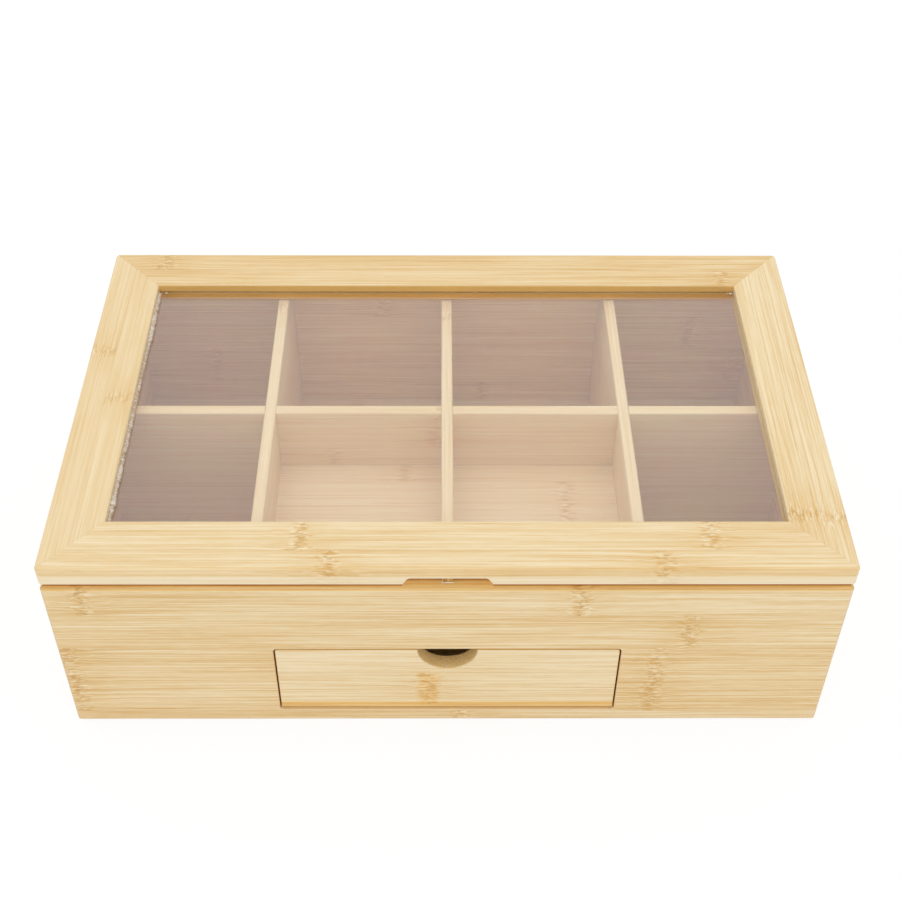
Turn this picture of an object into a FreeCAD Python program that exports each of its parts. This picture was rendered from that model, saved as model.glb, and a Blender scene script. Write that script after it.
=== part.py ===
import FreeCAD, Part
import math
import os

# Tea chest in solid bamboo: a mitred box with eight compartments, a glazed lid on two butt
# hinges, and a small drawer under the two front middle compartments.
# The box stands on z = 0 with its length along X, and the drawer pulls out towards -Y.
# All sizes are in millimetres.

# ---- Driving dimensions ----

box_length = 340.0
box_depth = 214.0
box_height = 106.0

lid_thickness = 10.0
lid_gap = 0.3                  # daylight between the shut lid and the walls
wall_thickness = 8.0
wall_bevel = 3.0               # 45 degree bevel round the top of the walls
corner_radius = 1.5            # upright corners of the walls
foot_easing = 1.0              # lower outside edge of the walls

bottom_height = 5.5            # underside of the bottom panel above the ground
bottom_thickness = 5.5
bottom_groove = 4.0            # how far the bottom panel enters the walls
bottom_play = 0.2              # room for the bottom panel in its groove

divider_thickness = 5.2        # the three boards that run front to back
cross_thickness = 5.6          # the board that runs from end to end
divider_pitch = 82.6
divider_drop = 0.5             # divider tops below the top of the walls
divider_housing = 1.5          # how far a divider enters a wall
edge_easing = 0.4              # small easing on sawn edges

deck_top = 61.0                # floor of the two shallow compartments
deck_thickness = 5.0
deck_housing = 1.8             # how far the deck enters the dividers beside it

opening_half_width = 76.1
opening_bottom = 7.6
opening_top = 52.7
opening_radius = 2.0

drawer_gap = 0.6               # shadow gap round the drawer front
drawer_front_thickness = 7.0
drawer_roundover = 3.5         # lower front edge of the drawer front
finger_hole_radius = 13.1      # half-round pull in the top of the drawer front
drawer_board = 5.5             # drawer sides and back
drawer_side_height = 35.7
drawer_rim_radius = 1.0        # rounded upper edges of the drawer's boards
drawer_bottom_thickness = 3.0
drawer_bottom_rise = 2.7       # underside of the drawer bottom above the drawer sides' lower edge
drawer_groove = 2.0
drawer_bottom_play = 0.1
drawer_back_gap = 1.5          # behind the shut drawer
drawer_play = 0.4              # sideways play between the drawer and its guides
guide_height = 22.0
ride_gap = 0.3                 # the drawer's running gap over the bottom panel

rail_side = 25.0               # widths of the four lid rails
rail_front = 27.0
rail_back = 26.0
lid_corner_radius = 2.0
lid_easing = 1.0               # round on the lid's upper outside edge
lid_lower_easing = 0.5         # small bevel on its lower outside edge
window_thickness = 2.0
window_rise = 4.0              # underside of the window above the underside of the lid
window_groove = 5.0
window_play = 0.5              # room for the sheet to swell in its groove
sealant_radius = 2.4

lid_notch_half_bottom = 19.1   # finger notch under the front rail
lid_notch_half_top = 16.6
lid_notch_height = 4.2
lid_notch_depth = 8.0
lid_notch_lip_radius = 1.2     # where the notch runs out into the rail's underside
lid_notch_roof_radius = 2.0
magnet_width = 5.0             # square block magnet
magnet_inset = 0.9             # its front face behind the lid's front face
magnet_seat = 3.0              # how deep it is let into the rail
magnet_easing = 0.3
striker_radius = 1.6
striker_inset = 4.8
striker_length = 6.0

hinge_offset = 110.0           # each hinge's middle from the middle of the box
hinge_length = 25.0
knuckle_count = 5
knuckle_radius = 1.5
knuckle_gap = 0.2
knuckle_room = 0.25            # clearance cut round the knuckles
leaf_thickness = 0.8
leaf_width = 4.5               # from the pin's axis to the leaf's edge
leaf_gap = 0.1                 # between the two shut leaves
pin_radius = 0.7
pin_fit = 0.05                 # radial running clearance of the pin
pin_proud = 0.2                # pin's ends past the outer knuckles
pin_inset = 0.5                # pin's axis outside the foot of the bevel
screw_shank_radius = 0.7
screw_head_radius = 1.3
screw_length = 7.0
screw_setback = 2.9            # screws from the pin's axis
mortise_play = 0.1             # round a leaf in its mortise
knuckle_end_room = 0.6         # past each end of the knuckles

# ---- Places worked out from the dimensions ----

half_length = box_length / 2
half_depth = box_depth / 2
inner_half_length = half_length - wall_thickness
inner_half_depth = half_depth - wall_thickness
lid_bottom = box_height - lid_thickness
wall_top = lid_bottom - lid_gap
floor_top = bottom_height + bottom_thickness
divider_top = wall_top - divider_drop
deck_bottom = deck_top - deck_thickness
window_bottom = lid_bottom + window_rise
window_top = window_bottom + window_thickness
window_left = -half_length + rail_side
window_right = half_length - rail_side
window_front = -half_depth + rail_front
window_back = half_depth - rail_back
pin_y = half_depth - wall_bevel + pin_inset
pin_z = wall_top + lid_gap / 2
drawer_half_width = opening_half_width - drawer_gap
drawer_front_inside = -half_depth + drawer_front_thickness
drawer_box_half_width = drawer_half_width - drawer_play
drawer_box_bottom = floor_top + ride_gap
drawer_box_top = drawer_box_bottom + drawer_side_height
drawer_box_back = -cross_thickness / 2 - drawer_back_gap
over = 5.0                     # how far a cutter runs past the face that it cuts


# ---- Shapes that several pieces share ----

def block(x0, x1, y0, y1, z0, z1):
    """A box between two corners."""
    corner = FreeCAD.Vector(x0, y0, z0)
    return Part.makeBox(x1 - x0, y1 - y0, z1 - z0, corner)


def outline(points, radii):
    """Closed wire through the points, each corner rounded by an arc of its own radius."""
    count = len(points)
    starts = []
    ends = []
    middles = []
    for i in range(count):
        corner = points[i]
        back = (points[i - 1] - corner).normalize()
        forward = (points[(i + 1) % count] - corner).normalize()
        half_angle = back.getAngle(forward) / 2
        reach = radii[i] / math.tan(half_angle)
        bisector = (back + forward).normalize()
        starts.append(corner + back * reach)
        ends.append(corner + forward * reach)
        middles.append(corner + bisector * radii[i] * (1 / math.sin(half_angle) - 1))
    edges = []
    for i in range(count):
        if radii[i] > 0:
            edges.append(Part.Arc(starts[i], middles[i], ends[i]).toShape())
        following = starts[(i + 1) % count]
        if ends[i].distanceToPoint(following) > 1e-6:
            edges.append(Part.LineSegment(ends[i], following).toShape())
    return Part.Wire(edges)


def along_x(points, radii, x0, x1):
    """Bar along X whose section is an outline of (y, z) points."""
    wire = outline([FreeCAD.Vector(x0, y, z) for y, z in points], radii)
    return Part.Face(wire).extrude(FreeCAD.Vector(x1 - x0, 0, 0))


def along_y(points, radii, y0, y1):
    """Bar along Y whose section is an outline of (x, z) points."""
    wire = outline([FreeCAD.Vector(x, y0, z) for x, z in points], radii)
    return Part.Face(wire).extrude(FreeCAD.Vector(0, y1 - y0, 0))


def along_z(points, z0, z1):
    """Upright prism whose plan is a polygon of (x, y) points."""
    wire = outline([FreeCAD.Vector(x, y, z0) for x, y in points], [0] * len(points))
    return Part.Face(wire).extrude(FreeCAD.Vector(0, 0, z1 - z0))


def rod(radius, x0, x1, y, z):
    """Round bar along X."""
    return Part.makeCylinder(radius, x1 - x0, FreeCAD.Vector(x0, y, z), FreeCAD.Vector(1, 0, 0))


def edges_in_plane(shape, axis, level):
    """The edges of a shape that lie in the plane where one coordinate equals a level."""
    found = []
    for edge in shape.Edges:
        box = edge.BoundBox
        low = (box.XMin, box.YMin, box.ZMin)[axis]
        high = (box.XMax, box.YMax, box.ZMax)[axis]
        if abs(low - level) < 1e-4 and abs(high - level) < 1e-4:
            found.append(edge)
    return found


def slab(z0, z1, upright_radius):
    """Block as long and deep as the box, with rounded upright corners."""
    body = block(-half_length, half_length, -half_depth, half_depth, z0, z1)
    uprights = [edge for edge in body.Edges if edge.BoundBox.ZLength > 0.9 * (z1 - z0)]
    return body.makeFillet(upright_radius, uprights)


def splayed_hole(x0, x1, y0, y1, z0, z1, easing):
    """Cutter for a rectangular hole whose top and bottom rims are eased at 45 degrees."""
    def section(low, high):
        return [(low - easing - over, z0 - over), (high + easing + over, z0 - over), (high, z0 + easing),
                (high, z1 - easing), (high + easing + over, z1 + over), (low - easing - over, z1 + over),
                (low, z1 - easing), (low, z0 + easing)]
    across = along_x(section(y0, y1), [0] * 8, x0 - 2 * over, x1 + 2 * over)
    along = along_y(section(x0, x1), [0] * 8, y0 - 2 * over, y1 + 2 * over)
    return across.common(along)


def mitre_wedges(left, right, front, back):
    """Four upright wedges that part a frame along lines from its outer to its inner corners."""
    outer = [(-half_length, -half_depth), (half_length, -half_depth),
             (half_length, half_depth), (-half_length, half_depth)]
    inner = [(left, front), (right, front), (right, back), (left, back)]
    names = ["front", "right", "back", "left"]
    wedges = {}
    for i, name in enumerate(names):
        j = (i + 1) % 4
        wedges[name] = along_z([outer[i], outer[j], inner[j], inner[i]], -over, box_height + over)
    return wedges


def board_section(thickness, centre, top, bottom):
    """Section of a thin board with its two top edges eased, as (across, z) points."""
    half = thickness / 2
    return [(centre - half, bottom), (centre + half, bottom), (centre + half, top - edge_easing),
            (centre + half - edge_easing, top), (centre - half + edge_easing, top),
            (centre - half, top - edge_easing)]


def save(name, shape):
    """Write one piece to its own file."""
    shape.exportStep("parts/" + name + ".step")


# ---- Walls of the box ----

def wall_frame():
    """All four walls as one frame, before it is parted along the mitres."""
    frame = slab(0, wall_top, corner_radius)
    frame = frame.makeChamfer(foot_easing, edges_in_plane(frame, 2, 0))
    hips_along = along_y([(-half_length, 0), (half_length, 0), (half_length, wall_top - wall_bevel),
                          (half_length - wall_bevel, wall_top), (-half_length + wall_bevel, wall_top),
                          (-half_length, wall_top - wall_bevel)], [0] * 6, -half_depth, half_depth)
    hips_across = along_x([(-half_depth, 0), (half_depth, 0), (half_depth, wall_top - wall_bevel),
                           (half_depth - wall_bevel, wall_top), (-half_depth + wall_bevel, wall_top),
                           (-half_depth, wall_top - wall_bevel)], [0] * 6, -half_length, half_length)
    frame = frame.common(hips_along).common(hips_across)
    frame = frame.cut(block(-inner_half_length, inner_half_length, -inner_half_depth,
                            inner_half_depth, -over, wall_top + over))
    return frame.cut(block(-inner_half_length - bottom_groove, inner_half_length + bottom_groove,
                           -inner_half_depth - bottom_groove, inner_half_depth + bottom_groove,
                           bottom_height, floor_top))


def divider_housings():
    """The shallow upright housings in the walls that hold the ends of the dividers."""
    half = divider_thickness / 2
    reach = inner_half_depth + divider_housing
    cutters = []
    for x in (-divider_pitch, 0, divider_pitch):
        front_floor = deck_top if x == 0 else floor_top
        cutters.append(block(x - half, x + half, -reach, 0, front_floor, wall_top + over))
        cutters.append(block(x - half, x + half, 0, reach, floor_top, wall_top + over))
    cutters.append(block(-inner_half_length - divider_housing, inner_half_length + divider_housing,
                         -cross_thickness / 2, cross_thickness / 2, floor_top, wall_top + over))
    return cutters


def drawer_opening():
    """Cutter for the drawer's opening in the front wall."""
    corners = [(-opening_half_width, opening_bottom), (opening_half_width, opening_bottom),
               (opening_half_width, opening_top), (-opening_half_width, opening_top)]
    return along_y(corners, [opening_radius] * 4, -half_depth - over, -inner_half_depth + over)


def ease_front_rim(panel):
    """Ease the rim of the drawer's opening where it meets the front face."""
    reach = opening_half_width + edge_easing
    rim = []
    for edge in edges_in_plane(panel, 1, -half_depth):
        box = edge.BoundBox
        beside = box.XMin > -reach and box.XMax < reach
        level = box.ZMin > opening_bottom - edge_easing and box.ZMax < opening_top + edge_easing
        if beside and level:
            rim.append(edge)
    return panel.makeChamfer(edge_easing, rim)


def striker():
    """Small steel plug in the front wall's top edge that the lid's magnet holds."""
    place = FreeCAD.Vector(0, -half_depth + striker_inset, wall_top - striker_length)
    return Part.makeCylinder(striker_radius, striker_length, place)


def walls():
    """The four mitred walls, with the drawer's opening, housings, mortises and screw holes."""
    frame = wall_frame().cut(divider_housings())
    wedges = mitre_wedges(-inner_half_length, inner_half_length, -inner_half_depth, inner_half_depth)
    pieces = {}
    for name in wedges:
        pieces[name] = frame.common(wedges[name])
    pieces["front"] = ease_front_rim(pieces["front"].cut(drawer_opening()).cut(striker()))
    pieces["back"] = pieces["back"].cut(base_mortises() + [base_screws()])
    return pieces


# ---- Bottom, dividers and drawer housing ----

def bottom_panel():
    """Bottom board in the walls' groove, stepped at the front where the drawer front shuts."""
    half_x = inner_half_length + bottom_groove - bottom_play
    half_y = inner_half_depth + bottom_groove - bottom_play
    panel = block(-half_x, half_x, -half_y, half_y, bottom_height, floor_top)
    step = block(-opening_half_width, opening_half_width, -half_y - over,
                 -inner_half_depth + bottom_play, opening_bottom, floor_top + over)
    return panel.cut(step)


def side_divider(side):
    """Full-height board from front to back, slotted from below over the cross board."""
    x = side * divider_pitch
    reach = inner_half_depth + divider_housing
    lap = (floor_top + divider_top) / 2
    slot = cross_thickness / 2
    profile = [(-reach, floor_top), (-slot, floor_top), (-slot, lap), (slot, lap),
               (slot, floor_top), (reach, floor_top), (reach, divider_top), (-reach, divider_top)]
    half = divider_thickness / 2
    board = along_x(profile, [0] * 8, x - half, x + half)
    board = board.common(along_y(board_section(divider_thickness, x, divider_top, floor_top),
                                 [0] * 6, -reach, reach))
    inner_face = side * (divider_pitch - half)
    housing_end = inner_face + side * deck_housing
    return board.cut(block(min(inner_face, housing_end), max(inner_face, housing_end),
                           -reach - over, -slot, deck_bottom, deck_top))


def centre_divider():
    """Stepped board: shallow over the drawer, full height behind the cross board."""
    reach = inner_half_depth + divider_housing
    lap = (deck_top + divider_top) / 2
    slot = cross_thickness / 2
    profile = [(-reach, deck_top), (-slot, deck_top), (-slot, lap), (slot, lap),
               (slot, floor_top), (reach, floor_top), (reach, divider_top), (-reach, divider_top)]
    half = divider_thickness / 2
    board = along_x(profile, [0] * 8, -half, half)
    return board.common(along_y(board_section(divider_thickness, 0, divider_top, floor_top),
                                [0] * 6, -reach, reach))


def cross_divider():
    """Board from end to end, slotted from above for the three boards that cross it."""
    reach = inner_half_length + divider_housing
    side_lap = (floor_top + divider_top) / 2
    centre_lap = (deck_top + divider_top) / 2
    half = cross_thickness / 2
    board = along_x(board_section(cross_thickness, 0, divider_top, floor_top), [0] * 6, -reach, reach)
    for x, lap in ((-divider_pitch, side_lap), (0, centre_lap), (divider_pitch, side_lap)):
        slot = divider_thickness / 2
        board = board.cut(block(x - slot, x + slot, -half - over, half + over, lap, wall_top + over))
    return board


def drawer_deck():
    """Floor of the two shallow compartments, housed in the dividers beside it."""
    half = divider_pitch - divider_thickness / 2 + deck_housing
    return block(-half, half, -inner_half_depth, -cross_thickness / 2, deck_bottom, deck_top)


def drawer_guide(side):
    """Strip glued to a divider's foot that keeps the drawer straight."""
    outer = side * (divider_pitch - divider_thickness / 2)
    inner = side * (drawer_box_half_width + drawer_play)
    low, high = min(outer, inner), max(outer, inner)
    strip = block(low, high, -inner_half_depth, -cross_thickness / 2, floor_top, floor_top + guide_height)
    upper_edges = [edge for edge in edges_in_plane(strip, 2, floor_top + guide_height)
                   if edge.BoundBox.YLength > divider_thickness]
    return strip.makeChamfer(edge_easing, upper_edges)


# ---- Drawer ----

def drawer_front():
    """Drawer front with a half-round pull, a rounded lower edge and housings for the box."""
    low = opening_bottom + drawer_gap
    high = opening_top - drawer_gap
    corners = [(-drawer_half_width, low), (drawer_half_width, low),
               (drawer_half_width, high), (-drawer_half_width, high)]
    radius = opening_radius - drawer_gap
    inside = drawer_front_inside
    front = along_y(corners, [radius] * 4, -half_depth, inside)
    section = [(-half_depth, low), (inside, low), (inside, high),
               (-half_depth + edge_easing, high), (-half_depth, high - edge_easing)]
    section_radii = [drawer_roundover, 0, 0, 0, 0]
    front = front.common(along_x(section, section_radii, -drawer_half_width, drawer_half_width))
    plan = [(-drawer_half_width, inside), (-drawer_half_width, -half_depth + edge_easing),
            (-drawer_half_width + edge_easing, -half_depth), (drawer_half_width - edge_easing, -half_depth),
            (drawer_half_width, -half_depth + edge_easing), (drawer_half_width, inside)]
    front = front.common(along_z(plan, low, high))
    outward = FreeCAD.Vector(0, 1, 0)
    pull = Part.makeCylinder(finger_hole_radius, drawer_front_thickness + 2 * over,
                             FreeCAD.Vector(0, -half_depth - over, high), outward)
    rim = Part.makeCone(finger_hole_radius + 2 * edge_easing, finger_hole_radius, 2 * edge_easing,
                        FreeCAD.Vector(0, -half_depth - edge_easing, high), outward)
    front = front.cut([pull, rim])
    for side in (-1, 1):
        front = front.cut(side_housing(side))
    return front.cut(drawer_bottom_groove())


def side_housing(side):
    """Housing in the back of the drawer front for the end of a drawer side."""
    outer = side * drawer_box_half_width
    inner = side * (drawer_box_half_width - drawer_board)
    return block(min(outer, inner), max(outer, inner), drawer_front_inside - drawer_groove,
                 drawer_front_inside + over, drawer_box_bottom, drawer_box_top)


def drawer_bottom_groove():
    """Cutter for the groove that holds the drawer's bottom panel on all four sides."""
    half = drawer_box_half_width - drawer_board + drawer_groove
    level = drawer_box_bottom + drawer_bottom_rise
    return block(-half, half, drawer_front_inside - drawer_groove,
                 drawer_box_back - drawer_board + drawer_groove, level, level + drawer_bottom_thickness)


def drawer_side(side):
    """Drawer side with its upper edges rounded and a groove for the bottom panel."""
    outer = side * drawer_box_half_width
    inner = side * (drawer_box_half_width - drawer_board)
    low, high = min(outer, inner), max(outer, inner)
    profile = [(low, drawer_box_bottom), (high, drawer_box_bottom),
               (high, drawer_box_top), (low, drawer_box_top)]
    board = along_y(profile, [0, 0, drawer_rim_radius, drawer_rim_radius],
                    drawer_front_inside - drawer_groove, drawer_box_back)
    return board.cut(drawer_bottom_groove())


def drawer_back():
    """Board between the drawer sides, with a groove for the bottom panel."""
    half = drawer_box_half_width - drawer_board
    profile = [(drawer_box_back - drawer_board, drawer_box_bottom), (drawer_box_back, drawer_box_bottom),
               (drawer_box_back, drawer_box_top), (drawer_box_back - drawer_board, drawer_box_top)]
    board = along_x(profile, [0, 0, drawer_rim_radius, drawer_rim_radius], -half, half)
    return board.cut(drawer_bottom_groove())


def drawer_bottom():
    """Thin panel that floats in the grooves of the drawer."""
    half = drawer_box_half_width - drawer_board + drawer_groove - drawer_bottom_play
    level = drawer_box_bottom + drawer_bottom_rise
    return block(-half, half, drawer_front_inside - drawer_groove + drawer_bottom_play,
                 drawer_box_back - drawer_board + drawer_groove - drawer_bottom_play,
                 level, level + drawer_bottom_thickness)


# ---- Lid ----

def lid_frame():
    """The lid's four rails as one frame, before it is parted along the mitres."""
    frame = slab(lid_bottom, box_height, lid_corner_radius)
    frame = frame.makeFillet(lid_easing, edges_in_plane(frame, 2, box_height))
    frame = frame.makeChamfer(lid_lower_easing, edges_in_plane(frame, 2, lid_bottom))
    frame = frame.cut(splayed_hole(window_left, window_right, window_front, window_back,
                                   lid_bottom, box_height, edge_easing))
    foot = half_depth - wall_bevel
    back_bevel = [(foot, lid_bottom), (foot, lid_bottom - over), (half_depth + over, lid_bottom - over),
                  (half_depth + over, lid_bottom + wall_bevel + over)]
    frame = frame.cut(along_x(back_bevel, [0] * 4, -half_length - over, half_length + over))
    return frame.cut(block(window_left - window_groove, window_right + window_groove,
                           window_front - window_groove, window_back + window_groove,
                           window_bottom, window_top))


def lid_finger_notch():
    """Cutter for the shallow finger notch under the middle of the front rail."""
    mouth = lid_notch_half_bottom + over
    top = lid_bottom + lid_notch_height
    lip = lid_notch_lip_radius
    roof = lid_notch_roof_radius
    profile = [(-mouth, lid_bottom - over), (mouth, lid_bottom - over), (mouth, lid_bottom),
               (lid_notch_half_bottom, lid_bottom), (lid_notch_half_top, top), (-lid_notch_half_top, top),
               (-lid_notch_half_bottom, lid_bottom), (-mouth, lid_bottom)]
    return along_y(profile, [0, 0, 0, lip, roof, roof, lip, 0],
                   -half_depth - over, -half_depth + lid_notch_depth)


def magnet():
    """Block magnet let into the roof of the finger notch, its lower end just over the wall."""
    half = magnet_width / 2
    front = -half_depth + magnet_inset
    body = block(-half, half, front, front + magnet_width,
                 lid_bottom, lid_bottom + lid_notch_height + magnet_seat)
    return body.makeChamfer(magnet_easing, edges_in_plane(body, 2, lid_bottom))


def lid_rails():
    """The four mitred rails of the lid."""
    frame = lid_frame()
    wedges = mitre_wedges(window_left, window_right, window_front, window_back)
    rails = {}
    for name in wedges:
        rails[name] = frame.common(wedges[name])
    rails["front"] = rails["front"].cut(lid_finger_notch()).cut(magnet())
    rails["back"] = rails["back"].cut(lid_mortises() + [lid_screws()])
    return rails


def window():
    """Clear sheet held in the rails' groove."""
    reach = window_groove - window_play
    return block(window_left - reach, window_right + reach, window_front - reach,
                 window_back + reach, window_bottom, window_top)


def sealant():
    """Bead of sealant along the left rail, where the sheet meets the wood."""
    corner = FreeCAD.Vector(window_left, window_front, window_top)
    bead = Part.makeCylinder(sealant_radius, window_back - window_front, corner, FreeCAD.Vector(0, 1, 0))
    quarter = block(window_left, window_right, window_front, window_back, window_top, box_height)
    return bead.common(quarter)


# ---- Hinges ----

def knuckle_spans(middle, owner):
    """The stretches along X that one leaf's knuckles fill: owner 0 is the box, 1 is the lid."""
    pitch = hinge_length / knuckle_count
    start = middle - hinge_length / 2
    spans = []
    for i in range(owner, knuckle_count, 2):
        spans.append((start + i * pitch + knuckle_gap / 2, start + (i + 1) * pitch - knuckle_gap / 2))
    return spans


def screw_places(middle, owner):
    """Where the two screws of a leaf stand along X, each behind one of its own knuckles."""
    spans = knuckle_spans(middle, owner)
    return [(spans[0][0] + spans[0][1]) / 2, (spans[-1][0] + spans[-1][1]) / 2]


def leaf(middle, owner):
    """One leaf of a butt hinge with its rolled knuckles, bored for the pin and countersunk."""
    direction = 1 if owner else -1
    near = pin_z + direction * leaf_gap / 2
    far = near + direction * leaf_thickness
    low, high = min(near, far), max(near, far)
    half = hinge_length / 2
    body = block(middle - half, middle + half, pin_y - leaf_width, pin_y, low, high)
    room = knuckle_radius + knuckle_room
    for x0, x1 in knuckle_spans(middle, 1 - owner):
        body = body.cut(block(x0 - knuckle_gap, x1 + knuckle_gap, pin_y - room, pin_y + room, low, high))
    for x0, x1 in knuckle_spans(middle, owner):
        body = body.fuse(rod(knuckle_radius, x0, x1, pin_y, pin_z))
    body = body.cut(rod(pin_radius + pin_fit, middle - half - over, middle + half + over, pin_y, pin_z))
    for x in screw_places(middle, owner):
        body = body.cut(screw(x, owner))
    return body.removeSplitter()


def pin(middle):
    """Hinge pin, standing a little proud of the knuckles at both ends."""
    half = hinge_length / 2 + pin_proud
    return rod(pin_radius, middle - half, middle + half, pin_y, pin_z)


def screw(x, owner):
    """Countersunk screw: down into the wall for the box's leaf, up into the rail for the lid's."""
    direction = 1 if owner else -1
    face = pin_z + direction * leaf_gap / 2
    upright = FreeCAD.Vector(0, 0, direction)
    place = FreeCAD.Vector(x, pin_y - screw_setback, face)
    head = Part.makeCone(screw_head_radius, screw_shank_radius, leaf_thickness, place, upright)
    shank = Part.makeCylinder(screw_shank_radius, screw_length - leaf_thickness,
                              place + upright * leaf_thickness, upright)
    return head.fuse(shank).removeSplitter()


def screw_group(owner):
    """The four screws of both hinges that enter the box (owner 0) or the lid (owner 1)."""
    screws = []
    for side in (-1, 1):
        for x in screw_places(side * hinge_offset, owner):
            screws.append(screw(x, owner))
    return Part.makeCompound(screws)


def base_screws():
    return screw_group(0)


def lid_screws():
    return screw_group(1)


def mortises(low, high):
    """Cutters that let both hinges' leaves and knuckles into the wood between two levels."""
    half = hinge_length / 2
    room = knuckle_radius + knuckle_room
    cutters = []
    for side in (-1, 1):
        middle = side * hinge_offset
        cutters.append(block(middle - half - mortise_play, middle + half + mortise_play,
                             pin_y - leaf_width - mortise_play, half_depth + over, low, high))
        cutters.append(block(middle - half - knuckle_end_room, middle + half + knuckle_end_room,
                             pin_y - room, half_depth + over, pin_z - room, pin_z + room))
    return cutters


def base_mortises():
    return mortises(pin_z - leaf_gap / 2 - leaf_thickness, wall_top + over)


def lid_mortises():
    return mortises(lid_bottom - over, pin_z + leaf_gap / 2 + leaf_thickness)


# ---- Make every piece ----

os.makedirs("parts", exist_ok=True)

wall_pieces = walls()
for name in wall_pieces:
    save(name + "_panel", wall_pieces[name])
save("bottom_panel", bottom_panel())
save("divider_left", side_divider(-1))
save("divider_centre", centre_divider())
save("divider_right", side_divider(1))
save("divider_cross", cross_divider())
save("drawer_deck", drawer_deck())
save("drawer_guide_left", drawer_guide(-1))
save("drawer_guide_right", drawer_guide(1))
save("lid_striker", striker())

save("drawer_front", drawer_front())
save("drawer_side_left", drawer_side(-1))
save("drawer_side_right", drawer_side(1))
save("drawer_back", drawer_back())
save("drawer_bottom", drawer_bottom())

rails = lid_rails()
for name in rails:
    save("lid_rail_" + name, rails[name])
save("lid_window", window())
save("window_sealant", sealant())
save("lid_magnet", magnet())

for name, side in (("left", -1), ("right", 1)):
    save("hinge_" + name + "_base_leaf", leaf(side * hinge_offset, 0))
    save("hinge_" + name + "_lid_leaf", leaf(side * hinge_offset, 1))
    save("hinge_" + name + "_pin", pin(side * hinge_offset))
save("hinge_screws_base", base_screws())
save("hinge_screws_lid", lid_screws())
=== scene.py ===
import math
import random

import bpy
import numpy as np
from mathutils import Matrix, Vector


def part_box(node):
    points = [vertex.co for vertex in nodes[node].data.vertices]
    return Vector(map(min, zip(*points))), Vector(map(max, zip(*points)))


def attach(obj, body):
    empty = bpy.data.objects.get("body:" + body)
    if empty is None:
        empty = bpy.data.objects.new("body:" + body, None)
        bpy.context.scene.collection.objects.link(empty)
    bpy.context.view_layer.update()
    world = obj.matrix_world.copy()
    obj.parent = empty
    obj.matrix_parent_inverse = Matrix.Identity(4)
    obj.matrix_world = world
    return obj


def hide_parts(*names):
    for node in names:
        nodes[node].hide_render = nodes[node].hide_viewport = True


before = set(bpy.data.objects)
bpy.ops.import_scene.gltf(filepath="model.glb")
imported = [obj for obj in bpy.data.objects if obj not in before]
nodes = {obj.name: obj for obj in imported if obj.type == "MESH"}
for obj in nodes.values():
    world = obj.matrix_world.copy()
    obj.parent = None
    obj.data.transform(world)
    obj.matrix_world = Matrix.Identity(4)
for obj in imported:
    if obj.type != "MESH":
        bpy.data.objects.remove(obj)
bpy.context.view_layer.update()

MM = 0.001


# ---------------------------------------------------------------------------------------------
# Box walls. Four boards of pale laminated bamboo, 8 mm thick, mitred and glued at the corners.
# Each board is glued up from flat strips of cane, so every strip keeps its own tone, and has
# knuckles, the cane's joints, at its own spacing. The finish is a thin satin lacquer.
# ---------------------------------------------------------------------------------------------

# The first is the cream toward which painted light pales the wood: a painted highlight on rounded
# edges, and faces in shade.
HIGHLIGHT_CREAM = (0.970, 0.850, 0.620)
CREAM = (0.925, 0.775, 0.515)
STRAW = (0.835, 0.618, 0.320)
CANE = (0.715, 0.440, 0.155)
KNUCKLE_BROWN = (0.520, 0.270, 0.070)

# What the wood's colour is multiplied by, from bare (0) through a thick coat of lacquer to the darkest
# (1).
# Its darker end is painted shade, in crevices and gaps.
AMBER_LACQUER_AND_SHADE = [(0.0, (1.0, 1.0, 1.0)), (0.35, (0.98, 0.82, 0.51)),
                 (0.65, (0.95, 0.68, 0.28)), (1.0, (0.50, 0.215, 0.04))]

# Layers of figure finer or broader than the fibres: waves a metre along the grain and across it,
# the field of noise that they are read from, and strength. Bands, hairs, flecks and clouds.
FIGURE_LAYERS = [(8.0, 190.0, 67.0, 0.50), (12.0, 1900.0, 29.0, 1.15),
                 (130.0, 1100.0, 83.0, 0.42), (6.0, 50.0, 41.0, 0.35)]

# Single fibres darker, then paler, than the rest: field and strength.
STRAY_LINES = [(23.0, 0.30), (91.0, -0.30)]

# Colour depth, from CREAM at 0.05 to CANE at 1: its mean, the swing from strip to strip, and what
# the wood round a knuckle and the knuckle's own patch add.
MEAN_DEPTH = 0.42
STRIP_SWING = 0.30
NEAR_KNUCKLE = 0.11
KNUCKLE_PATCH = 0.06

# How far specks brown a knuckle, glue darkens a seam and painted light pales a rounded edge or a face
# in shade, from 0 to 1.
SPECK_BROWN = 0.55
GLUE_DARK = 0.14
HIGHLIGHT_PALE = 0.75

SATIN_SPECULAR = 0.35
SATIN_ROUGHNESS = 0.38
FIBRE_ROUGHNESS = 0.16
FIBRE_RELIEF = 0.05 * MM
GLUE_LINE = 0.22 * MM
EASED_EDGE = 0.8 * MM


def feed(tree, socket, value):
    """Joins value to a socket if it is another node's output, and writes it there if it is a number."""
    if isinstance(value, bpy.types.NodeSocket):
        tree.links.new(value, socket)
    elif value is not None:
        socket.default_value = value


def place_node(tree, kind, inputs=(), **settings):
    """A new node of that kind, with its settings, and its inputs by name or number."""
    new = tree.nodes.new(kind)
    for name, value in settings.items():
        setattr(new, name, value)
    for name, value in dict(inputs).items():
        feed(tree, new.inputs[name], value)
    return new


def maths(tree, operation, *values):
    """The result of one Math node."""
    new = place_node(tree, "ShaderNodeMath", operation=operation)
    for socket, value in zip(new.inputs, values):
        feed(tree, socket, value)
    return new.outputs[0]


def largest(tree, first, *others):
    """The largest of several masks."""
    for other in others:
        first = maths(tree, "MAXIMUM", first, other)
    return first


def rise(tree, value, start, end):
    """0 where value is at start, 1 where it is at end, and smooth between them."""
    inputs = {"Value": value, "From Min": start, "From Max": end}
    smooth = place_node(tree, "ShaderNodeMapRange", inputs, interpolation_type="SMOOTHSTEP")
    return smooth.outputs["Result"]


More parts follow.
